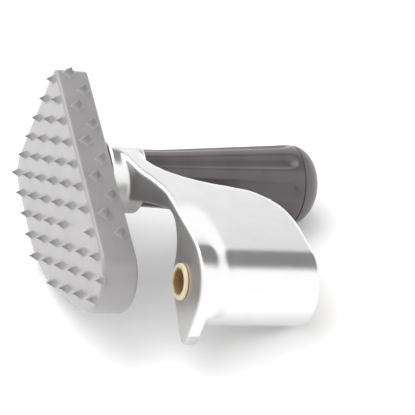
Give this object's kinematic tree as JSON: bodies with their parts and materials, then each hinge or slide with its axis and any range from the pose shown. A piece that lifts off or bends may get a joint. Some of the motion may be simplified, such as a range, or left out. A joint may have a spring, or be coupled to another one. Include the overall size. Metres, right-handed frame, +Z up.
{
  "type": "food slicer product pusher",
  "caption": "Spiked plate on a polished cast arm with a bushed hood that slides on a guide rod, pressed by a fluted screw-in grip.",
  "frame": {"origin": "on the bench, under the centre of the tool's bounding box as it lies at rest", "axes": "+Z up; the guide rod's axis lies in the XZ plane and falls 20.2 degrees towards +X, where the grip's cap is; +Y points from the hood to the plate's far side"},
  "size_m": [0.1604, 0.1818, 0.0999],
  "materials": {
    "moulded_grey": "satin moulded warm grey",
    "polished_aluminium": "polished casting",
    "dark_grip": "glossy warm dark grey",
    "dark_cap": "semi-gloss warm dark grey",
    "natural_nylon": "turned natural nylon",
    "steel": "zinc plated",
    "brass": "turned"
  },
  "bodies": {
    "arm": {"pusher_plate": "moulded_grey", "plate_insert": "brass", "locating_pin_upper": "steel", "locating_pin_lower": "steel", "arm_casting": "polished_aluminium", "guide_bush_front": "natural_nylon", "guide_bush_rear": "natural_nylon"},
    "thrust_ring": {"thrust_washer": "natural_nylon"},
    "grip": {"handle_grip": "dark_grip", "handle_stud": "steel", "grip_washer": "steel", "grip_nut": "steel", "handle_end_cap": "dark_cap"}
  },
  "joints": [
    {"name": "grip_travel", "type": "slide", "parent": "arm", "child": "thrust_ring", "axis": [0.9386, 0, -0.3451], "range_m": [0, 0.01125]},
    {"name": "grip_turn", "type": "hinge", "parent": "thrust_ring", "child": "grip", "pos_m": [-0.02322, 0.01413, 0.05332], "axis": [0.9386, 0, -0.3451], "range_deg": [0, 3240]}
  ],
  "couplings": [
    {"joint": "grip_turn", "follows": "grip_travel", "rad_per_m": 5026.5}
  ]
}
